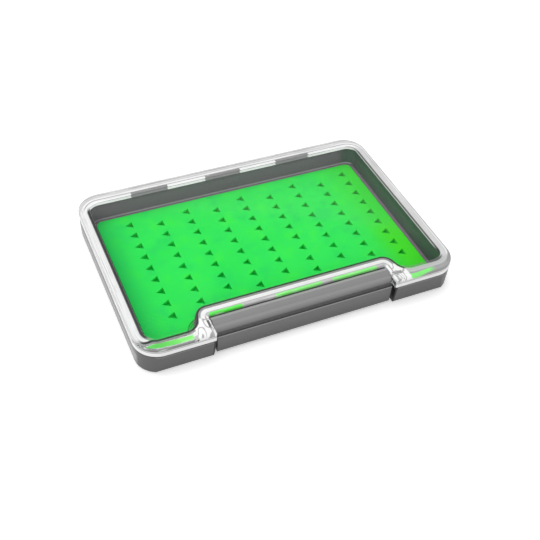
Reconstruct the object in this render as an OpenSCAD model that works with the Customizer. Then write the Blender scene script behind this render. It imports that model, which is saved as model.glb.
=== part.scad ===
// Slim waterproof case with a slotted silicone insert, a clear hinged lid and a wide front latch.
// Units are millimetres. +X is the right side, +Y is the hinged back and +Z is up.
// The origin is the middle of the outline, on the plane that the case stands on.

/* [Case] */
// Width of the case across the closed lid
case_w = 152; // [146:1:162]
// Depth of the case without its hinge knuckles
case_d = 104; // [102:1:110]
// Height of the closed case
case_h = 15; // [15:0.1:15.6]
// Radius of the case's four corners in plan
corner_r = 11; // [9:0.5:12]
// Height of the seam between tray and lid
seam_h = 10.3; // [10:0.1:10.4]
// How far the tray's outside leans in towards its bottom
outer_draft = 0.3; // [0.2:0.05:0.6]
// How far its front leans in
front_draft = 1.2; // [0.9:0.1:1.4]
// Radius of the tray's bottom edge
foot_r = 0.8; // [0.5:0.1:1]

/* [Tray] */
// Distance from the case's side to the inside of the tray wall
side_rim = 4.4; // [4.2:0.1:5]
// Distance from the case's front to the inside of the tray wall
front_rim = 6; // [5.6:0.1:6.4]
// Distance from the case's back to the inside of the tray wall
back_rim = 7.2; // [7:0.1:8]
// Radius of the tray's inside corners
inner_r = 6; // [5:0.5:7]
// Thickness of the wall that stands up inside the lid
wall_t = 1.4; // [1.2:0.1:1.4]
// Gap between the top of that wall and the lid's window
wall_gap = 0.2; // [0.15:0.05:0.5]
// How far the wall's inside leans in towards the floor
inner_draft = 1.1; // [0.6:0.1:1.3]
// Thickness of the floor
floor_t = 1.8; // [1.4:0.1:2]
// Height of the ledge around the insert
ledge_z = 4.3; // [4.1:0.1:4.5]
// Distance that the insert's seat lies inside the wall's top edge
seat_inset = 2.8; // [2.5:0.1:2.9]
// How much closer the seat comes to the wall at the back
seat_back = 1; // [0.6:0.1:1]
// Height of the small bead around the seat
bead_h = 0.35; // [0.2:0.05:0.45]
// Width of the bead
bead_w = 0.6; // [0.4:0.1:0.8]

/* [Front step] */
// Width of the lid's rim behind the latch
step_rim = 6.06; // [5.86:0.1:6.26]
// How far the straight part of the step ends before the latch's end
step_inset = 0.1; // [0:0.1:0.5]
// Radius of the two bends at each end of the step
bend_r = 6; // [5.8:0.1:6.4]

/* [Seal] */
// Distance from the wall's inside to the seal groove
groove_u = 1.5; // [1.5:0.1:1.6]
// Width of the seal groove
groove_w = 2; // [1.9:0.1:2]
// Depth of the seal groove below the seam
groove_deep = 1.1; // [1:0.1:1.4]
// Height of the seal ring
seal_h = 0.85; // [0.7:0.05:0.85]

/* [Lid] */
// Thickness of the lid's window
lid_t = 1.5; // [1.3:0.1:1.5]
// Gap between the lid's skirt and the tray's shelf
lid_gap = 0.1; // [0.08:0.01:0.15]
// Radius of the lid's outer upper edge
lid_edge_r = 1.4; // [1.1:0.1:1.5]
// Radius of the upper edge around the notch for the latch
notch_edge_r = 0.7; // [0.4:0.05:0.75]
// Radius of the notch's corners in plan
notch_r = 0.8; // [0.8:0.02:0.9]
// Width of the square pocket under each end of the notch
pocket_w = 2.9; // [2.5:0.1:3]
// Height of those pockets
pocket_h = 2.2; // [1.8:0.1:2.4]

/* [Hinge] */
// Distance of the hinge axis behind the case's back
hinge_back = 0.4; // [0.4:0.05:0.6]
// Radius of the knuckles
knuckle_r = 2.3; // [2.2:0.05:2.3]
// Width of each tray knuckle
knuckle_w = 19; // [18:0.5:20]
// Spacing of the tray knuckles
knuckle_pitch = 38.2; // [37.5:0.1:39]
// Width of each outer lid knuckle
end_knuckle_w = 13; // [11:0.5:14]
// Side gap between neighbouring knuckles
knuckle_gap = 0.35; // [0.3:0.05:0.5]
// Radius of the hinge pin
pin_r = 0.8; // [0.7:0.05:0.9]
// Radial running clearance of the hinge pin and the latch studs
run_gap = 0.05; // [0.03:0.01:0.08]

/* [Latch] */
// Width of the latch
latch_w = 84.4; // [84:0.1:84.4]
// Distance of the latch axis behind the case's front
latch_y = 8.3; // [8.3:0.05:8.4]
// Radius of the latch around its axis
latch_r = 2.5; // [2.4:0.05:2.55]
// How far the latch lies below the lid's top
latch_drop = 0.2; // [0.15:0.05:0.3]
// Gap between the latch and each side of its notch
latch_gap = 0.4; // [0.35:0.05:0.6]
// Gap behind the latch
notch_gap = 0.3; // [0.25:0.05:0.4]
// How far the latch's curved top stands back from its face
dome_set = 0.35; // [0.25:0.05:0.5]
// Wall thickness of the latch
latch_t = 1.8; // [1.6:0.1:1.9]
// Distance of the latch's face behind the case's front
latch_inset = 1.8; // [1.7:0.1:2]
// Height of the latch's lower edge
latch_low = 0.6; // [0.5:0.1:0.8]
// How much shorter the latch's front is at each end than its top
plate_inset = 0.4; // [0.3:0.1:0.6]
// Height of the finger groove
grip_z = 11.1; // [11:0.1:11.2]
// Radius of the finger groove
grip_r = 0.95; // [0.8:0.05:1]
// Radius in plan of the corners of the tray's recess for the latch
recess_r = 1.4; // [1.2:0.1:1.6]
// How much wider that recess is at the bottom, on each side
recess_lean = 0.7; // [0.4:0.1:1]
// Reach of the hook under the tray's catch
hook_reach = 1.1; // [0.9:0.1:1.2]
// Radius of the latch's end studs
stud_r = 1.1; // [1:0.05:1.1]
// Length of the latch's end studs
stud_len = 2.9; // [2.4:0.1:2.9]

/* [Insert] */
// Thickness of the silicone insert
pad_t = 3; // [2.6:0.1:3.2]
// Gap between the insert and its seat
pad_gap = 0.3; // [0.2:0.05:0.4]
// Number of slot columns
columns = 9; // [5:2:9]
// Spacing of the columns
col_pitch = 14.35; // [13:0.05:14.5]
// Spacing of the slots along a column
row_pitch = 7.84; // [7:0.02:7.9]
// Slots in each outer column
rows_end = 9; // [5:1:9]
// Slots in each other column
rows_mid = 8; // [4:1:8]
// Distance of the middle column from the insert's middle
pattern_x = 3.84; // [0:0.02:4]
// Distance of the first row from the middle of the case
pattern_y = 35.4; // [30:0.1:36]
// Side of each triangular slot
slot_side = 4.3; // [3:0.1:4.6]
// Depth of each slot
slot_deep = 2.2; // [1:0.1:2.3]

/* [Hidden] */
$fn = 96;
eps = case_h / 500;
big = case_w;

// Sizes that follow from those above
lid_under = case_h - lid_t;
skirt_low = seam_h + lid_gap;
wall_top = lid_under - wall_gap;
hinge_z = skirt_low;
latch_z = case_h - latch_drop - latch_r;
dome_r = latch_y - latch_inset - dome_set;
notch_w = latch_w + 2 * latch_gap;
notch_d = latch_y + latch_r + notch_gap;
step_d = notch_d + step_rim - front_rim;
step_half = latch_w / 2 - step_inset;

// Tray wall, seen from above. Offsets u grow outwards from the wall's inside top edge.
wall_x = case_w / 2 - side_rim;
wall_yb = case_d / 2 - back_rim;
wall_yf = -case_d / 2 + front_rim;
step_y = wall_yf + step_d;
slope_rise_share = 0.96;
slope_run_share = 0.28;
bend_s = slope_rise_share;
bend_c = slope_run_share;
bend_angle = atan2(bend_s, bend_c);
slope_len = (step_d - 2 * bend_r * (1 - bend_c)) / bend_s;
bend1 = [step_half, step_y - bend_r];
bend1_end = [bend1[0] + bend_r * bend_s, bend1[1] + bend_r * bend_c];
slope_end = [bend1_end[0] + slope_len * bend_c, bend1_end[1] - slope_len * bend_s];
bend2 = [slope_end[0] + bend_r * bend_s, wall_yf + bend_r];
corner_x = case_w / 2 - corner_r;
corner_y = case_d / 2 - corner_r;
back_y = case_d / 2;
front_y = -case_d / 2;

// Shares of the sizes above
tongue_in_share = 0.13;
tongue_w_share = 0.74;
seal_fit_share = 0.05;
skirt_share = 1.15;
recess_side_share = 0.4;
recess_fit_share = 0.3;
shelf_share = 0.15;
sweep_share = 1.13;
catch_share = 1.5;
tray_lug_shares = [[-0.7, -0.05], [-0.7, -1.75], [-0.35, -1.75], [0.32, -0.9], [0.17, 0]];
lid_lug_share = 0.4;
lid_slope_share = 0.7;
brow_shares = [[1, 0], [0.55, 0], [0.1, -0.25], [0, -0.5]];
toe_shares = [[0.1, 0.3], [0.35, 0], [1, 0]];
hook_top_shares = [[-0.1, 0.4], [0, -0.1]];
hook_tip_shares = [-0.2, -0.7];
grip_share = 0.33;
pocket_side_share = 1.2;
pocket_front_share = 1.07;

// Levels
groove_z = seam_h - groove_deep;
tongue_low = groove_z + seal_h + eps;
tongue_u = groove_u + tongue_in_share * groove_w;
tongue_w = tongue_w_share * groove_w;
skirt_u = skirt_share * wall_t;

// Latch recess in the tray
recess_w = notch_w + recess_side_share * wall_t;
recess_y = front_y + latch_inset + latch_t + recess_fit_share * wall_t;
shelf_cut = front_y + notch_d - shelf_share * wall_t;
saddle_z = latch_z - latch_r - recess_fit_share * wall_t;
catch_z = latch_low + catch_share * latch_t;
catch_in = recess_y + hook_reach;

// Hinge
axis_y = back_y + hinge_back;
sweep_r = sweep_share * knuckle_r;
inner_knuckle_w = knuckle_pitch - knuckle_w - 2 * knuckle_gap;
inner_knuckle_x = knuckle_pitch / 2;
end_knuckle_x = knuckle_pitch + knuckle_w / 2 + knuckle_gap + end_knuckle_w / 2;
pin_half = end_knuckle_x + end_knuckle_w / 2;

// Latch
ly = front_y + latch_y;
face_y = front_y + latch_inset;
back_face = face_y + latch_t;
dome_z = latch_z + latch_r - dome_r;

// Sweeps draw their children with x as the outward offset and y as the height.

// straight stretch from p to q with the outside on its right
module run(p, q) {
  d = q - p;
  translate([q[0], q[1], 0])
    rotate([0, 0, atan2(d[1], d[0])])
      rotate([90, 0, -90])
        linear_extrude(height = norm(d))
          children();
}

// bend whose outside lies away from its centre
module turn_out(c, r, start, angle) {
  translate([c[0], c[1], 0])
    rotate([0, 0, start])
      rotate_extrude(angle = angle)
        translate([r, 0])
          children();
}

// bend whose outside lies towards its centre
module turn_in(c, r, start, angle) {
  translate([c[0], c[1], 0])
    rotate([0, 0, start])
      rotate_extrude(angle = angle)
        translate([r, 0])
          mirror([1, 0])
            children();
}

module both() {
  children();
  mirror([1, 0, 0])
    children();
}

// sweep along the tray wall
module along_wall() {
  both() {
    run([0, step_y], [step_half, step_y])
      children();
    turn_in(bend1, bend_r, 90 - bend_angle, bend_angle)
      children();
    run(bend1_end, slope_end)
      children();
    turn_out(bend2, bend_r, -90 - bend_angle, bend_angle)
      children();
    run([bend2[0], wall_yf], [wall_x - inner_r, wall_yf])
      children();
    turn_out([wall_x - inner_r, wall_yf + inner_r], inner_r, -90, 90)
      children();
    run([wall_x, wall_yf + inner_r], [wall_x, wall_yb - inner_r])
      children();
    turn_out([wall_x - inner_r, wall_yb - inner_r], inner_r, 0, 90)
      children();
    run([wall_x - inner_r, wall_yb], [0, wall_yb])
      children();
  }
}

// sweep along the outline without its notch
module along_outline() {
  both() {
    run([0, front_y], [corner_x, front_y])
      children();
    turn_out([corner_x, -corner_y], corner_r, -90, 90)
      children();
    run([case_w / 2, -corner_y], [case_w / 2, corner_y])
      children();
    turn_out([corner_x, corner_y], corner_r, 0, 90)
      children();
    run([corner_x, back_y], [0, back_y])
      children();
  }
}

// sweep along the lid's notch
module along_notch() {
  nx = notch_w / 2;
  ny = front_y + notch_d;
  both() {
    run([0, ny], [nx - notch_r, ny])
      children();
    turn_in([nx - notch_r, ny - notch_r], notch_r, 0, 90)
      children();
    run([nx, ny - notch_r], [nx, front_y + notch_r])
      children();
    turn_out([nx + notch_r, front_y + notch_r], notch_r, 180, 90)
      children();
  }
}

// what is cut from the tray's outside, from its leaning face down to its rounded foot
module foot_profile(draft, top_in, top_z) {
  difference() {
    polygon([
      [-draft - foot_r, -foot_r],
      [-draft - foot_r, foot_r],
      [-draft, foot_r],
      [-top_in, seam_h],
      [foot_r, top_z],
      [foot_r, -foot_r]
    ]);
    translate([-draft - foot_r, foot_r])
      circle(foot_r);
  }
}

// what is cut from a square upper edge to round it
module edge_profile(r) {
  translate([-r, case_h - r])
    difference() {
      square([1.5 * r, 2 * r]);
      circle(r);
    }
}

module rounded(x0, y0, x1, y1, r) {
  translate([x0 + r, y0])
    square([x1 - x0 - 2 * r, y1 - y0]);
  translate([x0, y0 + r])
    square([x1 - x0, y1 - y0 - 2 * r]);
  for (x = [x0 + r, x1 - r], y = [y0 + r, y1 - r])
    translate([x, y])
      circle(r);
}

// half of the step that the tray wall takes around the latch
module half_step(u) {
  t1 = [bend1[0] + (bend_r - u) * bend_s, bend1[1] + (bend_r - u) * bend_c];
  t2 = [bend2[0] - (bend_r + u) * bend_s, bend2[1] - (bend_r + u) * bend_c];
  low = front_y - step_d;
  polygon([[-eps, low], [-eps, step_y - u], [bend1[0], step_y - u], t1, t2, [t2[0], low]]);
  translate(bend1)
    circle(bend_r - u);
  difference() {
    translate([t2[0] - eps, low])
      square([bend2[0] - t2[0] + eps, t2[1] - low]);
    translate(bend2)
      circle(bend_r + u);
  }
}

// area inside the tray wall, grown by u and a little more at the back
module wall_area(u, back = 0) {
  difference() {
    rounded(-wall_x - u, wall_yf - u, wall_x + u, wall_yb + u + back, inner_r + u);
    half_step(u);
    mirror([1, 0])
      half_step(u);
  }
}

// lid outline with its notch for the latch
module lid_area() {
  nx = notch_w / 2;
  ny = front_y + notch_d;
  difference() {
    rounded(-case_w / 2, front_y, case_w / 2, back_y, corner_r);
    translate([-nx + notch_r, front_y - notch_d])
      square([2 * (nx - notch_r), 2 * notch_d]);
    translate([-nx, front_y - notch_d])
      square([2 * nx, 2 * notch_d - notch_r]);
    for (s = [-1, 1])
      translate([s * (nx - notch_r), ny - notch_r])
        circle(notch_r);
    for (s = [-1, 1])
      translate([s * (nx + notch_r / 2), front_y])
        difference() {
          square([notch_r, 2 * notch_r], center = true);
          translate([s * notch_r / 2, notch_r])
            circle(notch_r);
        }
  }
}

// bar along X whose children are drawn in the Y-Z plane
module bar_x(x0, x1) {
  translate([x0, 0, 0])
    rotate([90, 0, 90])
      linear_extrude(height = x1 - x0)
        children();
}

module knuckle_bar(x, w, r) {
  bar_x(x - w / 2, x + w / 2)
    translate([axis_y, hinge_z])
      circle(r);
}

module tray_knuckle(x) {
  difference() {
    union() {
      knuckle_bar(x, knuckle_w, knuckle_r);
      bar_x(x - knuckle_w / 2, x + knuckle_w / 2)
        polygon([for (p = tray_lug_shares) [back_y, hinge_z] + knuckle_r * p]);
    }
    knuckle_bar(x, 2 * knuckle_w, pin_r + run_gap / 2);
  }
}

module base_tray() {
  color([0.42, 0.42, 0.43])
    difference() {
      union() {
        difference() {
          union() {
            linear_extrude(height = seam_h)
              rounded(-case_w / 2, front_y, case_w / 2, back_y, corner_r);
            translate([0, 0, floor_t])
              linear_extrude(height = wall_top - floor_t)
                wall_area(wall_t);
          }
          // inside, with its leaning wall, ledge and seat
          translate([0, 0, ledge_z])
            linear_extrude(height = case_h)
              wall_area(-inner_draft);
          along_wall()
            polygon([
              [-inner_draft - wall_t / 5, ledge_z],
              [-inner_draft, ledge_z],
              [0, wall_top],
              [0, wall_top + wall_t],
              [-inner_draft - wall_t / 5, wall_top + wall_t]
            ]);
          translate([0, 0, floor_t])
            linear_extrude(height = case_h)
              wall_area(-seat_inset, seat_back);
          // leaning outside with a rounded foot
          along_outline()
            foot_profile(outer_draft, 0, seam_h);
          run([-case_w / 2, front_y], [case_w / 2, front_y])
            foot_profile(front_draft, 2 * eps, seam_h + foot_r);
          // seal groove
          translate([0, 0, groove_z])
            linear_extrude(height = seam_h - groove_z + eps)
              difference() {
                wall_area(groove_u + groove_w);
                wall_area(groove_u);
              }
          // recess for the latch, its saddle and its catch
          translate([0, 0, saddle_z])
            linear_extrude(height = case_h)
              rounded(-recess_w / 2, front_y - step_d, recess_w / 2, shelf_cut, recess_r);
          translate([-recess_w / 2, front_y - step_d, -case_h])
            cube([recess_w, recess_y - front_y + step_d, 3 * case_h]);
          translate([-recess_w / 2, front_y - step_d, -case_h])
            cube([recess_w, catch_in - front_y + step_d, case_h + catch_z]);
          both()
            translate([recess_w / 2, recess_y, 0])
              rotate([90, 0, 0])
                linear_extrude(height = step_d)
                  polygon([
                    [-recess_lean, -foot_r],
                    [-recess_lean, seam_h],
                    [0, seam_h],
                    [recess_lean, 0],
                    [recess_lean, -foot_r]
                  ]);
          // room for the lid's knuckles
          for (s = [-1, 1]) {
            knuckle_bar(s * inner_knuckle_x, knuckle_pitch - knuckle_w, sweep_r);
            knuckle_bar(s * (end_knuckle_x + knuckle_gap / 2), end_knuckle_w + 3 * knuckle_gap, sweep_r);
          }
        }
        for (x = [-knuckle_pitch, 0, knuckle_pitch])
          tray_knuckle(x);
        // bead around the insert
        translate([0, 0, ledge_z - eps])
          linear_extrude(height = bead_h + eps)
            difference() {
              wall_area(-seat_inset + bead_w, seat_back);
              wall_area(-seat_inset, seat_back);
            }
      }
      knuckle_bar(0, 2 * pin_half, pin_r + run_gap / 2);
    }
}

module insert_pad() {
  color([0.2, 0.9, 0.35])
    translate([0, 0, floor_t])
      difference() {
        linear_extrude(height = pad_t)
          wall_area(-seat_inset - pad_gap, seat_back);
        for (c = [0 : columns - 1], r = [0 : rows_end - 1])
          if (r < rows_mid || c == 0 || c == columns - 1)
            translate([
              pattern_x + (c - (columns - 1) / 2) * col_pitch,
              pattern_y - (r + (c % 2) / 2) * row_pitch,
              pad_t - slot_deep
            ])
              rotate([0, 0, 180])
                linear_extrude(height = slot_deep + eps)
                  circle(slot_side / sqrt(3), $fn = 3);
      }
}

module seal_ring() {
  color([0.93, 0.94, 0.95])
    translate([0, 0, groove_z])
      linear_extrude(height = seal_h)
        difference() {
          wall_area(groove_u + groove_w - seal_fit_share * groove_w);
          wall_area(groove_u + seal_fit_share * groove_w);
        }
}

module hinge_pin() {
  color([0.75, 0.76, 0.78])
    knuckle_bar(0, 2 * pin_half, pin_r);
}

module lid() {
  color([0.85, 0.9, 0.95, 0.35])
    difference() {
      union() {
        difference() {
          union() {
            translate([0, 0, lid_under])
              linear_extrude(height = lid_t)
                lid_area();
            translate([0, 0, skirt_low])
              linear_extrude(height = lid_under - skirt_low + eps)
                difference() {
                  lid_area();
                  wall_area(skirt_u);
                }
            translate([0, 0, tongue_low])
              linear_extrude(height = skirt_low - tongue_low + eps)
                difference() {
                  wall_area(tongue_u + tongue_w);
                  wall_area(tongue_u);
                }
          }
          // rounded upper edges
          along_outline()
            edge_profile(lid_edge_r);
          along_notch()
            edge_profile(notch_edge_r);
          // pockets in the thick ends of the notch
          both()
            translate([
              notch_w / 2 + pocket_side_share * pocket_w,
              front_y + pocket_front_share * pocket_w,
              groove_z
            ])
              translate([-pocket_w / 2, -pocket_w / 2, 0])
                cube([pocket_w, pocket_w, skirt_low - groove_z + pocket_h]);
          // room for the tray's knuckles
          for (x = [-knuckle_pitch, 0, knuckle_pitch])
            knuckle_bar(x, knuckle_w + 2 * knuckle_gap, sweep_r);
        }
        for (s = [-1, 1]) {
          lid_knuckle(s * inner_knuckle_x, inner_knuckle_w);
          lid_knuckle(s * end_knuckle_x, end_knuckle_w);
        }
      }
      knuckle_bar(0, 3 * pin_half, pin_r + run_gap);
      // sockets for the latch studs
      for (s = [-1, 1])
        translate([s * latch_w / 2, ly, latch_z])
          rotate([0, 90, 0])
            cylinder(r = stud_r + run_gap, h = 2 * (stud_len + 4 * run_gap), center = true);
    }
}

module lid_knuckle(x, w) {
  knuckle_bar(x, w, knuckle_r);
  bar_x(x - w / 2, x + w / 2)
    polygon([
      [back_y - lid_lug_share * knuckle_r, skirt_low],
      [axis_y, hinge_z],
      [axis_y + lid_slope_share * knuckle_r, hinge_z + lid_slope_share * knuckle_r],
      [back_y - eps, lid_under],
      [back_y - lid_lug_share * knuckle_r, lid_under]
    ]);
}

module latch() {
  color([0.5, 0.5, 0.51])
    difference() {
      union() {
        bar_x(-latch_w / 2, latch_w / 2) {
          translate([ly, latch_z])
            circle(latch_r);
          // curved top
          intersection() {
            translate([ly, dome_z])
              difference() {
                circle(dome_r);
                circle(dome_r - latch_t);
              }
            translate([face_y, grip_z - latch_t])
              square([ly - face_y, case_h]);
          }
        }
        bar_x(-latch_w / 2 + plate_inset, latch_w / 2 - plate_inset) {
          // front plate
          polygon(concat(
            [for (p = brow_shares) [face_y, grip_z] + latch_t * p],
            [for (p = toe_shares) [face_y, latch_low] + latch_t * p]
          ));
          // hook
          polygon(concat(
            [for (p = hook_top_shares) [back_face, catch_z] + latch_t * p],
            [for (k = hook_tip_shares) [back_face + hook_reach, catch_z + latch_t * k]],
            [[back_face, latch_low], [face_y + latch_t / 2, latch_low]]
          ));
        }
        for (s = [-1, 1])
          translate([s * (latch_w / 2 + stud_len / 2 - stud_r / 4), ly, latch_z])
            rotate([0, 90, 0])
              cylinder(r = stud_r, h = stud_len + stud_r / 2, center = true);
      }
      // finger groove
      bar_x(-big, big)
        translate([face_y + grip_share * latch_t, grip_z])
          circle(grip_r);
    }
}

base_tray();
insert_pad();
seal_ring();
hinge_pin();
lid();
latch();
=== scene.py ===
"""Looks, stage and camera of the slim fly box."""
import math

import bpy
from mathutils import Matrix, Vector

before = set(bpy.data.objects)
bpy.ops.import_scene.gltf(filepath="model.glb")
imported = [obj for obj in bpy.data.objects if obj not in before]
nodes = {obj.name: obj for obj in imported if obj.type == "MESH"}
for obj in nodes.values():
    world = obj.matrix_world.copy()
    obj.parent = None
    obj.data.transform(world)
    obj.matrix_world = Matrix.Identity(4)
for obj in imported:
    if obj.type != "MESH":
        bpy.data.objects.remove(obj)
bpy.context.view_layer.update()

MM_PER_UNIT = 1000
WHITE = (1.0, 1.0, 1.0)

# inside of the tray wall, seen from above, in millimetres
WALL_R = 6.0  # radius of its corners and bends
WALL_MIDDLE_Y = -0.6
CORNER_X, CORNER_Y = 65.6, 39.4  # centre of a corner, from the middle
NEAR_X, NEAR_Y = 42.1, -40.84  # centre of the bend beside the latch
FAR_X, FAR_Y = 54.355, -40.0  # centre of the bend at the slope's other end
SLOPE_X, SLOPE_Y = 0.96, 0.28  # direction square to the slope between the bends

# outer edge of the lid, in millimetres
LID_R = 11.0
LID_CORNER_X, LID_CORNER_Y = 65.0, 41.0
LID_TOP_Z = 13.55  # the streaks of the rim begin here

# painted grey blocks along the back, where knuckles of the hinge show through the lid, in
# millimetres
TILE_SHIFT = 2.0
TILE_PITCH = 19.1
TILE_HALF = 9.1
TILES_END = 47.0

# depth of the bumps, in metres
GRAIN = 0.00004
DRAWN_GRAIN = 0.00003
RIM_WAVE = 0.0003

# stage, in metres
FLOOR_HALF = 3.0
FLOOR_Z = -0.0002
LAMPS = {  # place, size of the lamp and power
    "top_softbox": ((-0.1, 0.25, 1.1), (1.2, 0.9), 6.0),
    "front_fill": ((-0.5, -0.9, 0.6), (0.8, 0.6), 3.6),
    "left_fill": ((-1.0, 0.1, 0.4), (0.7, 0.5), 1.0),
}

# camera fitted to the photograph: its three directions, place, turn and lens
CAMERA_RIGHT = Vector((0.91123164, -0.40837895, 0.05369854))
CAMERA_DOWN = Vector((-0.25275012, -0.65732489, -0.7099587))
CAMERA_AHEAD = Vector((0.32522958, 0.63336452, -0.70219307))
CAMERA_PLACE = Vector((-0.13065, -0.26505, 0.28064))
CAMERA_TURN = math.radians(0.4)
SENSOR_MM = 36
LENS_MM = 56.804
CLIP = (0.01, 20)


class Graph:
    """Builds a node tree with short calls."""

    def __init__(self, owner, out_kind):
        self.owner = owner
        owner.use_nodes = True
        self.tree = owner.node_tree
        self.tree.nodes.clear()
        self.out = self.tree.nodes.new(out_kind)

    def new(self, kind, inputs=None, **settings):
        node = self.tree.nodes.new(kind)
        for key, value in settings.items():
            setattr(node, key, value)
        for key, value in (inputs or {}).items():
            self.put(node.inputs[key], value)
        return node

    def put(self, socket, value):
        if isinstance(value, bpy.types.NodeSocket):
            self.tree.links.new(value, socket)
        elif isinstance(value, tuple) and socket.type == "RGBA":
            socket.default_value = (*value, 1)
        else:
            socket.default_value = value

    def math(self, op, *values):
        return self.new("ShaderNodeMath", dict(enumerate(values)), operation=op).outputs[0]

    def minus(self, a, b):
        return self.math("SUBTRACT", a, b)

    def larger(self, a, b):
        return self.math("MAXIMUM", a, b)

    def smaller(self, a, b):
        return self.math("MINIMUM", a, b)

    def absolute(self, a):
        return self.math("ABSOLUTE", a)

    def product(self, a, *others):
        for other in others:
            a = self.math("MULTIPLY", a, other)
        return a

    def length(self, a, b):
        return self.math("SQRT", self.along(a, b, a, b))

    def along(self, a, b, da, db):
        return self.math("MULTIPLY_ADD", a, da, self.product(b, db))

    def both(self, a, b):
        """1 where a and b are both above zero."""
        return self.math("GREATER_THAN", self.smaller(a, b), 0.0)

    def pick(self, choice, a, b):
        """a where choice is 0 and b where it is 1."""
        return self.math("MULTIPLY_ADD", choice, self.minus(b, a), a)

    def ramp(self, x, lo, hi, a=0.0, b=1.0, kind="SMOOTHSTEP"):
        """a up to lo and b beyond hi, where hi may be the smaller of the two."""
        limits = {"From Min": lo, "From Max": hi, "To Min": a, "To Max": b}
        node = self.new("ShaderNodeMapRange", {"Value": x, **limits}, interpolation_type=kind)
        return node.outputs[0]

    def band(self, x, lo, hi, soft):
        """1 between lo and hi, falling to 0 over soft on each side."""
        return self.product(self.ramp(x, lo - soft, lo), self.ramp(x, hi, hi + soft, 1.0, 0.0))

    def mix(self, factor, a, b):
        node = self.new("ShaderNodeMix", data_type="RGBA")
        for index, value in ((0, factor), (6, a), (7, b)):
            self.put(node.inputs[index], value)
        return node.outputs[2]

    def layers(self, base, *pairs):
        """Base colour under others, each a pair of its mask and its colour."""
        for mask, colour in pairs:
            base = self.mix(mask, base, colour)
        return base

    def texture(self, vector, scale, detail, rough):
        inputs = {"Vector": vector, "Scale": scale, "Detail": detail, "Roughness": rough}
        return self.new("ShaderNodeTexNoise", inputs).outputs["Fac"]

    def bump(self, height, strength, distance):
        inputs = {"Height": height, "Strength": strength, "Distance": distance}
        return self.new("ShaderNodeBump", inputs).outputs["Normal"]

    def rays(self, *kinds):
        """1 for a ray of any of these kinds."""
        path = self.new("ShaderNodeLightPath")
        seen = path.outputs[kinds[0]]
        for kind in kinds[1:]:
            seen = self.larger(seen, path.outputs[kind])
        return seen

    def shader(self, kind, inputs):
        return self.new(kind, inputs).outputs[0]

    def principled(self, inputs):
        return self.shader("ShaderNodeBsdfPrincipled", inputs)

    def blend(self, factor, a, b):
        """Shader a where factor is 0 and b where it is 1."""
        return self.shader("ShaderNodeMixShader", {0: factor, 1: a, 2: b})

    def finish(self, shader):
        self.tree.links.new(shader, self.out.inputs["Surface"])
        return self.owner


class Material(Graph):
    """Graph of a new material, with the place on the piece in millimetres."""

    def __init__(self, name):
        super().__init__(bpy.data.materials.new(name), "ShaderNodeOutputMaterial")
        inputs = {0: self.new("ShaderNodeTexCoord").outputs["Object"], "Scale": MM_PER_UNIT}
        self.place = self.new("ShaderNodeVectorMath", inputs, operation="SCALE").outputs[0]
        self.x, self.y, self.z = self.new("ShaderNodeSeparateXYZ", {0: self.place}).outputs

    def noise(self, scale, detail, rough=0.55, stretch=None):
        """Noise by place, drawn out along an axis where its stretch is small."""
        place = self.place
        if stretch:
            inputs = {0: place, 1: stretch}
            place = self.new("ShaderNodeVectorMath", inputs, operation="MULTIPLY").outputs[0]
        return self.texture(place, scale, detail, rough)


def grey(v):
    return (v, v, v)


def wall_offset(g):
    """Distance outward from the inside of the tray wall, in millimetres."""
    ax = g.absolute(g.x)
    corner_x = g.minus(ax, CORNER_X)
    corner_y = g.minus(g.absolute(g.minus(g.y, WALL_MIDDLE_Y)), CORNER_Y)
    outside = g.length(g.larger(corner_x, 0.0), g.larger(corner_y, 0.0))
    within = g.smaller(g.larger(corner_x, corner_y), 0.0)
    box = g.minus(g.math("ADD", outside, within), WALL_R)
    # the step behind the latch, with the bend from its straight part into its slope
    near_x, near_y = g.minus(ax, NEAR_X), g.minus(g.y, NEAR_Y)
    slope = g.minus(WALL_R, g.along(near_x, near_y, SLOPE_X, SLOPE_Y))
    straight = g.minus(WALL_R, near_y)
    bend = g.minus(WALL_R, g.length(near_x, near_y))
    turned = g.both(near_x, g.along(near_x, near_y, -SLOPE_Y, SLOPE_X))
    step = g.pick(turned, g.smaller(slope, straight), bend)
    # the bend from the slope into the front wall
    far_x, far_y = g.minus(ax, FAR_X), g.minus(g.y, FAR_Y)
    bend = g.minus(g.length(far_x, far_y), WALL_R)
    turned = g.both(g.minus(0.0, far_x), g.along(far_x, far_y, SLOPE_Y, -SLOPE_X))
    return g.pick(turned, g.larger(box, step), bend)


def plastic(name, tone, shape, rough):
    """Fine matt moulded plastic, whose tone the shape function changes by place."""
    g = Material(name)
    cloud = g.noise(0.05, 3)
    fine = g.noise(2.6, 5, 0.7)
    speck = g.noise(1.1, 4, 0.8)
    scuff = g.noise(0.9, 6, 0.75, (0.12, 1.0, 1.0))
    colour = shape(g, g.mix(cloud, grey(tone * 0.94), grey(tone * 1.06)))
    marks = (  # noise, where the mark begins and is full, its strength and lightness
        (fine, 0.35, 0.75, 0.10, 1.7),
        (speck, 0.42, 0.20, 0.35, 0.4),
        (speck, 0.60, 0.80, 0.25, 2.0),
        (scuff, 0.62, 0.78, 0.12, 1.9),
    )
    for noise, begin, full, strength, lightness in marks:
        mask = g.ramp(noise, begin, full, 0.0, strength)
        colour = g.mix(mask, colour, grey(tone * lightness))
    return g.finish(g.principled({
        "Base Color": colour,
        "Roughness": g.ramp(fine, 0.3, 0.7, rough - 0.06, rough + 0.08),
        "Specular IOR Level": 0.22,
        "Normal": g.bump(fine, 0.5, GRAIN),
    }))


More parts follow.
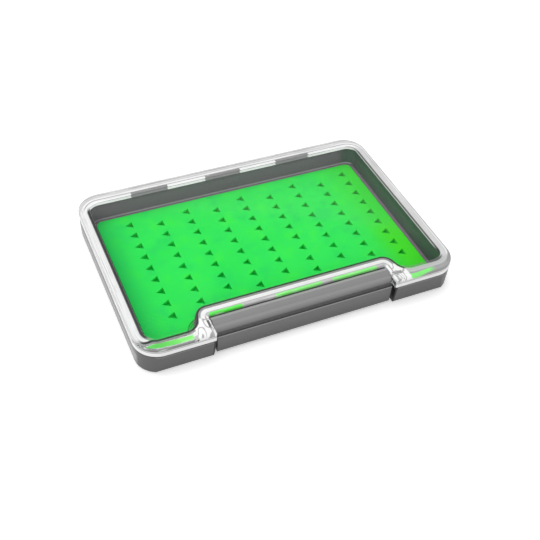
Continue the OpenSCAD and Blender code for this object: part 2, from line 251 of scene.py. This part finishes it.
def tray_tone(g, base):
    """Painted light on the left flank, dim inner walls with painted shade, and near-black
    painted shade in the gaps beside the latch.
    """
    u = wall_offset(g)
    # painted light makes the left flank lighter, less so in a band near its top
    flank = g.ramp(g.x, -74.9, -75.7)
    painted_flank_light = g.mix(g.band(g.z, 7.6, 10.5, 0.6), grey(0.35), grey(0.19))
    # inner wall, with painted shade and a painted green reflection of the insert that make it
    # darker at the right, and with a light foot at the back
    wall = g.product(g.band(u, -1.4, 0.05, 0.1), g.ramp(g.z, 4.6, 4.9))
    depth = g.ramp(g.z, 12.0, 5.0)
    right_shade_and_reflection = g.mix(depth, (0.07, 0.10, 0.085), (0.06, 0.085, 0.075))
    back_foot = g.product(g.band(g.z, 4.5, 5.5, 0.3), g.ramp(g.y, 40, 43))
    wall_tone = g.layers(
        g.mix(depth, (0.205, 0.135, 0.20), (0.175, 0.11, 0.17)),
        (g.ramp(g.x, 62, 67), right_shade_and_reflection),
        (back_foot, (0.44, 0.35, 0.42)),
    )
    ledge = g.product(g.band(u, -3.0, -1.2, 0.1), g.band(g.z, 4.0, 4.75, 0.1))
    # green light of the insert at the foot of the wall, beside the latch's left end
    bay = g.product(g.band(g.x, -54.0, -44.0, 2.0), g.ramp(g.y, -33, -34.5))
    green_foot = g.product(bay, g.ramp(g.z, 11.0, 6.0), g.larger(wall, ledge))
    # painted highlight along the top of the front face
    front_edge_highlight = g.product(g.band(g.z, 9.5, 10.0, 0.1), g.ramp(g.y, -51, -51.5))
    # painted shade along the top of the inner wall
    shaded_crest = g.product(g.band(u, 0.05, 0.5, 0.1), g.ramp(g.z, 13.0, 13.2))
    # near-black painted shade in the gaps beside the latch
    gaps = g.product(g.band(g.absolute(g.x), 42.0, 43.9, 0.1), g.ramp(g.y, -48, -50))
    return g.layers(
        base,
        (flank, painted_flank_light),
        (wall, wall_tone),
        (ledge, (0.25, 0.185, 0.24)),
        (green_foot, (0.02, 0.62, 0.08)),
        (front_edge_highlight, grey(0.17)),
        (shaded_crest, grey(0.05)),
        (gaps, grey(0.01)),
    )


def latch_tone(g, base):
    """Painted highlight on the edge behind, painted shade on the shoulder and finger groove,
    and a face with a painted highlight on its lip.
    """
    # painted shade on the shoulder, and in the finger groove darker towards the face
    shoulder_shade = g.ramp(g.z, 13.0, 12.2)
    groove = g.product(g.ramp(g.z, 12.1, 11.7), g.ramp(g.y, -48.4, -48.5))
    groove_shade = g.mix(g.ramp(g.y, -48.6, -49.6), grey(0.11), grey(0.035))
    # the face is darker towards the bottom, with a painted highlight on its lip
    face = g.ramp(g.y, -49.85, -50.0)
    lip = g.band(g.z, 9.95, 10.8, 0.2)
    face_tone = g.mix(g.ramp(g.z, 1, 9), grey(0.10), grey(0.13))
    # painted highlights on the front of the dome and along its edge behind
    front_edge_highlight = g.band(g.y, -47.6, -46.9, 0.3)
    rear_edge_highlight = g.product(g.band(g.y, -43.6, -42.2, 0.3), g.ramp(g.z, 13.5, 14.0))
    return g.layers(
        base,
        (shoulder_shade, grey(0.165)),
        (groove, groove_shade),
        (face, g.mix(lip, face_tone, grey(0.27))),
        (front_edge_highlight, grey(0.26)),
        (rear_edge_highlight, grey(0.34)),
    )


def silicone():
    """Mottled green, yellower at the right end, duller at the left, with painted shade in the
    slots.
    """
    g = Material("green_silicone")
    cloud = g.noise(0.06, 3)
    patch = g.noise(0.12, 3, 0.6)
    medium = g.noise(0.35, 4, 0.6)
    fine = g.noise(3.2, 5, 0.7)
    warm = g.product(g.ramp(g.x, 52, 62, 0.0, 0.8), g.ramp(g.y, 2, -14))
    # painted shade in the slots
    slot_shade = g.ramp(g.z, 2.8, 4.7, 1.0, 0.0)
    colour = g.layers(
        g.mix(cloud, (0.024, 0.82, 0.085), (0.036, 0.90, 0.125)),
        (g.ramp(patch, 0.52, 0.68, 0.0, 0.6), (0.05, 0.92, 0.075)),
        (g.ramp(patch, 0.48, 0.32, 0.0, 0.6), (0.022, 0.74, 0.13)),
        (g.ramp(g.x, 40, 70, 0.0, 0.75), (0.05, 0.76, 0.02)),
        (warm, (0.065, 0.82, 0.012)),
        (g.ramp(g.x, -70, -56, 0.75, 0.0), (0.016, 0.56, 0.105)),
        (g.ramp(medium, 0.4, 0.75, 0.0, 0.12), (0.02, 0.66, 0.07)),
        (slot_shade, (0.0, 0.64, 0.075)),
    )
    return g.finish(g.principled({
        "Base Color": colour,
        "Roughness": g.ramp(medium, 0.3, 0.7, 0.5, 0.62),
        "Specular IOR Level": 0.06,
        "Normal": g.bump(fine, 0.35, GRAIN),
    }))


def pale_silicone():
    g = Material("clear_silicone")
    fine = g.noise(1.6, 4, 0.6)
    return g.finish(g.principled({
        "Base Color": g.mix(fine, (0.80, 0.82, 0.82), (0.9, 0.91, 0.91)),
        "Roughness": 0.4,
    }))


def steel():
    g = Material("steel")
    drawn = g.noise(3.0, 5, 0.7, (0.05, 1.0, 1.0))
    return g.finish(g.principled({
        "Base Color": g.mix(drawn, (0.48, 0.48, 0.5), (0.66, 0.66, 0.68)),
        "Metallic": 1.0,
        "Roughness": g.ramp(drawn, 0.3, 0.7, 0.22, 0.4),
        "Normal": g.bump(drawn, 0.3, DRAWN_GRAIN),
    }))


# The rim's streaks are painted reflections and painted shade over the clear plastic, as a pair
# of colour and strength.
# They are placed by u, the offset from the tray wall that wall_offset gives.


def paint(g, painted_light, *streaks):
    """Painted light with painted streaks over it, each its mask, its colour and its strength.
    """
    colour, strength = painted_light
    for mask, streak_colour, streak_strength in streaks:
        colour = g.mix(mask, colour, streak_colour)
        strength = g.larger(strength, g.product(mask, streak_strength))
    return colour, strength


def profile(g, u, start, tone, strength, bands):
    """Painted light from an offset outward, with bands from, to, softness, colour and
    strength.
    """
    painted_light = tone, g.product(g.ramp(u, start - 0.15, start + 0.15), strength)
    for lo, hi, soft, colour, weight in bands:
        painted_light = paint(g, painted_light, (g.band(u, lo, hi, soft), colour, weight))
    return painted_light


def join(g, choice, a, b):
    """Painted light a where choice is 0 and b where it is 1."""
    return g.mix(choice, a[0], b[0]), g.pick(choice, a[1], b[1])


# painted reflections on the left of the rim, with a painted shade line along the tray wall
def left_side(g, u, tone):
    return profile(g, u, 0.85, tone, 0.85, [
        (-0.4, 0.55, 0.2, grey(0.03), 0.95),
        (3.15, 3.35, 0.2, grey(0.78), 0.85),
        (3.95, 4.2, 0.15, grey(0.7), 0.85),
        (4.4, 4.9, 0.12, grey(0.42), 0.85),
    ])


# painted reflections on the right of the rim, with a painted highlight and painted shade
# beside the step
def right_side(g, u, tone):
    behind_step = g.ramp(g.y, -41, -37)
    return profile(g, u, -0.15, tone, 0.85, [
        (-1.5, -1.3, 0.15, grey(0.85), g.product(behind_step, 0.7)),
        (-1.05, -0.4, 0.15, grey(0.22), g.product(behind_step, 0.6)),
        (2.65, 2.95, 0.2, grey(0.9), 0.85),
        (3.4, 4.6, 0.12, grey(0.3), 0.9),
    ])


def hinge_tiles(g):
    """Painted reflection as a bright line along the back, broken by a painted grey block at
    every second knuckle.
    """
    shifted = g.math("ADD", g.x, TILE_SHIFT)
    from_tile = g.math("PINGPONG", shifted, TILE_PITCH)
    tiles = g.product(
        g.ramp(from_tile, TILE_HALF, TILE_HALF + 0.4, 1.0, 0.0),
        g.ramp(g.absolute(shifted), TILES_END, TILES_END + 0.8, 1.0, 0.0),
    )
    tile_tone = g.mix(g.ramp(g.z, 13.6, 13.8), grey(0.46), grey(0.42))
    return g.mix(tiles, grey(0.95), tile_tone), g.pick(tiles, 0.9, 0.6)


# painted reflections on the back of the rim, over the painted hinge blocks
def back_side(g, u, tone, tiles):
    painted_light = profile(g, u, 2.1, tone, 0.85, [
        (2.65, 3.2, 0.15, grey(0.97), 0.9),
        (4.95, 5.3, 0.15, grey(0.42), 0.9),
        (6.3, 7.4, 0.15, grey(0.5), 0.9),
    ])
    return paint(g, painted_light, (g.band(u, 0.15, 1.85, 0.15), *tiles))


def behind_latch(g, u, tone):
    """The painted reflection of the insert is a green strip, but for two grey stretches, with
    painted shade lines beside it.
    """
    breaks = g.larger(g.band(g.x, -26.5, -11.5, 0.5), g.band(g.x, 11.5, 16.0, 0.5))
    lit = g.product(g.band(g.x, -41.5, 38.0, 0.8), g.minus(1.0, breaks))
    green = g.mix(g.ramp(g.x, -42, 5), (0.07, 0.86, 0.05), (0.24, 0.92, 0.2))
    return profile(g, u, 2.4, tone, 0.85, [
        (0.5, 1.35, 0.1, grey(0.02), 0.95),
        (1.5, 2.2, 0.15, grey(0.33), 0.7),
        (4.5, 4.75, 0.12, grey(0.36), 0.85),
        (4.95, 6.05, 0.15, g.mix(lit, grey(0.52), green), 0.92),
        (6.25, 7.0, 0.12, grey(0.06), 0.8),
    ])


def left_wing(g, u, tone, ring):
    """The painted reflection of the insert is a strip that starts in a point, with a painted
    shade line along its upper side.
    """
    inner_u = g.minus(u, g.ramp(g.x, -73.0, -68.0, 2.4, 0.0))
    outer_u = g.minus(u, g.ramp(g.x, -70.0, -56.0, 0.0, 0.5))
    strip_u = g.minus(inner_u, g.ramp(g.x, -66.0, -54.0, 0.0, 0.6))
    strip_sides = g.product(g.ramp(strip_u, 2.15, 2.45), g.ramp(outer_u, 4.9, 4.65))
    strip = g.product(strip_sides, g.ramp(g.x, -73.4, -72.4))
    green = g.layers(
        g.mix(g.ramp(g.x, -70, -54), (0.05, 0.55, 0.04), (0.22, 0.90, 0.15)),
        (g.ramp(ring, 0.45, 0.6, 0.0, 0.5), (0.10, 0.70, 0.09)),
    )
    corner = g.product(g.ramp(u, 0.7, 1.0), g.ramp(inner_u, 0.35, 0.15))
    painted_light = profile(g, outer_u, 5.95, tone, 0.85, [
        (5.2, 5.75, 0.15, grey(0.22), 0.85),
        (7.6, 7.95, 0.15, grey(0.55), 0.7),
    ])
    return paint(
        g,
        painted_light,
        (corner, grey(0.92), 0.85),
        (g.band(inner_u, 0.3, 1.25, 0.12), (0.01, 0.015, 0.012), 0.95),
        (g.band(inner_u, 1.45, 2.0, 0.15), grey(0.26), 0.9),
        (strip, green, 0.95),
    )


def right_wing(g, u):
    """The painted reflection of the insert is a strip that slants outward towards the latch
    and fades at its other end.
    """
    slant_u = g.minus(u, g.ramp(g.x, 50.0, 62.0, 1.5, 0.3, kind="LINEAR"))
    strip = g.product(g.band(slant_u, 3.1, 4.9, 0.2), g.ramp(g.x, 64, 60))
    tone = g.mix(g.ramp(u, 2.8, 3.5), grey(0.56), grey(0.36))
    painted_light = profile(g, u, 0.8, tone, 0.82, [
        (-0.5, 0.5, 0.15, grey(0.2), 0.5),
        (6.45, 9.0, 0.15, grey(0.88), 0.85),
    ])
    return paint(
        g,
        painted_light,
        (g.band(slant_u, 5.3, 5.9, 0.15), grey(0.3), 0.85),
        (strip, (0.22, 0.92, 0.18), 0.88),
    )


def notch_ends(g, u):
    """Painted streak with broken painted highlights and painted shade on the thick rim at both
    ends of the notch.
    """
    ax = g.absolute(g.x)
    beside_latch = g.product(g.band(ax, 42.9, 50.0, 0.9), g.ramp(g.y, -42, -40.5, 1.0, 0.0))
    lines = g.math("PINGPONG", g.product(g.noise(0.16, 1, 0.4, (1.0, 0.45, 1.0)), 9.0), 0.5)
    left_bar = g.product(g.band(g.x, -44.3, -43.5, 0.25), g.band(g.y, -48.3, -43.7, 0.4))
    right_patch = g.product(g.band(g.x, 43.5, 47.5, 0.6), g.band(g.y, -47.8, -46.4, 0.4))
    swirl = g.layers(
        g.mix(g.ramp(lines, 0.0, 0.2), grey(0.38), grey(0.98)),
        (g.band(ax, 43.9, 44.2, 0.3), grey(0.42)),
        (left_bar, grey(0.08)),
        (right_patch, grey(0.3)),
    )
    return g.product(beside_latch, g.ramp(u, 1.2, 1.7)), swirl, 0.85


def fine_reflections(g, u, at_front, colour):
    """Fine painted reflections and painted shade as streaks that follow the edge, outside the
    strips at the front.
    """
    inputs = {0: u, 1: g.product(g.x, 0.03), 2: g.product(g.y, 0.03)}
    glint_noise = g.texture(g.new("ShaderNodeCombineXYZ", inputs).outputs[0], 1.7, 3.0, 0.6)
    strips = g.product(at_front, g.ramp(u, 6.2, 4.2))
    rim = g.product(g.ramp(u, 0.9, 1.3), g.minus(1.0, strips))
    return g.layers(
        colour,
        (g.product(rim, g.ramp(glint_noise, 0.54, 0.66, 0.0, 0.45)), grey(0.42)),
        (g.product(rim, g.ramp(glint_noise, 0.34, 0.44, 0.6, 0.0)), WHITE),
    )


def side_faces(g):
    """Painted reflection streaking down the outer faces of the lid, with a painted shade line
    at the seam.
    """
    corner_x = g.larger(g.minus(g.absolute(g.x), LID_CORNER_X), 0.0)
    corner_y = g.larger(g.minus(g.absolute(g.y), LID_CORNER_Y), 0.0)
    edge = g.minus(g.length(corner_x, corner_y), LID_R)
    tone = g.mix(g.ramp(g.z, 10.7, 10.85), grey(0.03), grey(0.95))
    tone = g.mix(g.band(g.z, 12.8, 13.15, 0.12), tone, grey(0.45))
    return g.product(g.ramp(edge, -0.5, -0.2), g.ramp(g.z, 13.4, 13.7, 1.0, 0.0)), tone, 0.8


def rim_painted_light(g, u):
    """Painted reflections and painted shade as bright and dark streaks on the thick edge of
    the lid, zone by zone.
    """
    ring = g.noise(0.5, 4, 0.7, (0.25, 0.25, 1.0))
    white = g.mix(ring, grey(0.80), grey(0.97))
    pale = g.mix(ring, grey(0.60), grey(0.84))
    tiles = hinge_tiles(g)
    at_right = g.ramp(g.x, -5, 5)
    at_back = g.ramp(g.y, 40, 44)
    at_wings = g.larger(g.ramp(g.x, -51.5, -53.0), g.ramp(g.x, 49.8, 50.8))
    between_wings = g.ramp(g.absolute(g.x), 53, 56, 1.0, 0.0)
    at_front = g.product(
        g.larger(between_wings, g.ramp(g.y, -46, -43, 1.0, 0.0)),
        g.ramp(g.y, -31, -29, 1.0, 0.0),
    )
    sides = join(g, at_right, left_side(g, u, white), right_side(g, u, pale))
    sides = join(g, at_back, sides, back_side(g, u, pale, tiles))
    wings = join(g, at_right, left_wing(g, u, white, ring), right_wing(g, u))
    front = join(g, at_wings, behind_latch(g, u, white), wings)
    painted_light = join(g, at_front, sides, front)
    colour, strength = paint(g, painted_light, notch_ends(g, u))
    painted_light = (
        fine_reflections(g, u, at_front, colour),
        g.product(strength, g.ramp(g.z, LID_TOP_Z, LID_TOP_Z + 0.25)),
    )
    # the painted tiles show on the window's underside too, over the back wall
    underside = g.product(
        g.band(g.z, LID_TOP_Z - 0.15, LID_TOP_Z, 0.05), g.band(u, 0.0, 1.6, 0.1), at_back
    )
    return paint(g, painted_light, side_faces(g), (underside, *tiles))


def clear_plastic():
    """Clear lid: see-through window inside a thick refracting rim, with painted reflections
    and painted shade as streaks over it.
    """
    g = Material("clear_plastic")
    u = wall_offset(g)
    streak = g.noise(0.55, 5, 0.7, (0.35, 0.35, 1.0))
    fine = g.noise(2.2, 5, 0.7)
    fresnel = g.new("ShaderNodeFresnel", {"IOR": 1.32}).outputs[0]
    gloss = g.shader("ShaderNodeBsdfGlossy", {
        "Color": WHITE,
        "Roughness": 0.04,
        "Normal": g.bump(fine, 0.05, DRAWN_GRAIN),
    })
    glass = g.shader("ShaderNodeBsdfTransparent", {"Color": (0.985, 0.99, 0.99)})
    window = g.blend(g.product(fresnel, 0.03), glass, gloss)
    rim = g.principled({
        "Base Color": (0.97, 0.98, 0.98),
        "Roughness": 0.02,
        "IOR": 1.47,
        "Transmission Weight": 1.0,
        "Normal": g.bump(streak, 0.25, RIM_WAVE),
    })
    colour, strength = rim_painted_light(g, u)
    # painted reflections and painted shade, laid over the clear plastic by their strength
    painted_light = g.principled({
        "Base Color": colour,
        "Roughness": g.ramp(streak, 0.3, 0.7, 0.12, 0.25),
        "Specular IOR Level": 0.2,
    })
    body = g.blend(g.ramp(u, 1.3, 1.6), window, rim)
    # light passes through the lid, a little dimmed
    shade = g.shader("ShaderNodeBsdfTransparent", {"Color": (0.93, 0.94, 0.94)})
    return g.finish(g.blend(g.rays("Is Shadow Ray"), g.blend(strength, body, painted_light), shade))


def make_floor():
    mesh = bpy.data.meshes.new("floor")
    h = FLOOR_HALF
    mesh.from_pydata([(-h, -h, 0), (h, -h, 0), (h, h, 0), (-h, h, 0)], [], [(0, 1, 2, 3)])
    floor = bpy.data.objects.new("floor", mesh)
    floor.location.z = FLOOR_Z
    bpy.context.scene.collection.objects.link(floor)
    g = Material("floor")
    tone = g.mix(g.noise(0.01, 2), grey(0.93), grey(0.95))
    diffuse = g.shader("ShaderNodeBsdfDiffuse", {"Color": tone})
    # seen directly it is near white, and more so far away, so that no horizon shows
    seen = g.rays("Is Camera Ray", "Is Glossy Ray", "Is Transmission Ray")
    glow = g.product(seen, g.ramp(g.length(g.x, g.y), 400, 1500, 0.3, 0.55))
    lift = g.shader("ShaderNodeEmission", {"Color": WHITE, "Strength": glow})
    mesh.materials.append(g.finish(g.shader("ShaderNodeAddShader", {0: diffuse, 1: lift})))


def make_world():
    """White where it is seen, and softer as a light."""
    world = bpy.data.worlds.new("studio")
    bpy.context.scene.world = world
    g = Graph(world, "ShaderNodeOutputWorld")
    light = g.shader("ShaderNodeBackground", {"Color": WHITE, "Strength": 0.55})
    white = g.shader("ShaderNodeBackground", {"Color": WHITE, "Strength": 1.0})
    g.finish(g.blend(g.rays("Is Camera Ray", "Is Glossy Ray"), light, white))


def make_lamp(name, place, size, power):
    """Rectangular softbox that faces the middle of the case."""
    lamp = bpy.data.lights.new(name, "AREA")
    lamp.shape = "RECTANGLE"
    lamp.size, lamp.size_y = size
    lamp.energy = power
    holder = bpy.data.objects.new(name, lamp)
    holder.location = place
    holder.rotation_euler = (-Vector(place)).to_track_quat("-Z", "Y").to_euler()
    bpy.context.scene.collection.objects.link(holder)


def make_camera():
    axes = Matrix((CAMERA_RIGHT, -CAMERA_DOWN, -CAMERA_AHEAD)).transposed().to_4x4()
    axes.translation = CAMERA_PLACE
    camera = bpy.data.cameras.new("camera")
    camera.sensor_width = SENSOR_MM
    camera.lens = LENS_MM
    camera.clip_start, camera.clip_end = CLIP
    holder = bpy.data.objects.new("camera", camera)
    holder.matrix_world = Matrix.Rotation(CAMERA_TURN, 4, "Z") @ axes
    bpy.context.scene.collection.objects.link(holder)
    bpy.context.scene.camera = holder


LOOKS = {
    "base_tray": plastic("grey_plastic", 0.103, tray_tone, 0.42),
    "latch": plastic("latch_plastic", 0.225, latch_tone, 0.38),
    "insert_pad": silicone(),
    "seal_ring": pale_silicone(),
    "hinge_pin": steel(),
    "lid": clear_plastic(),
}
for name, look in LOOKS.items():
    mesh = nodes[name].data
    mesh.materials.clear()
    mesh.materials.append(look)

make_floor()
make_world()
for name, (place, size, power) in LAMPS.items():
    make_lamp(name, place, size, power)
make_camera()
bpy.context.scene.view_settings.view_transform = "Standard"
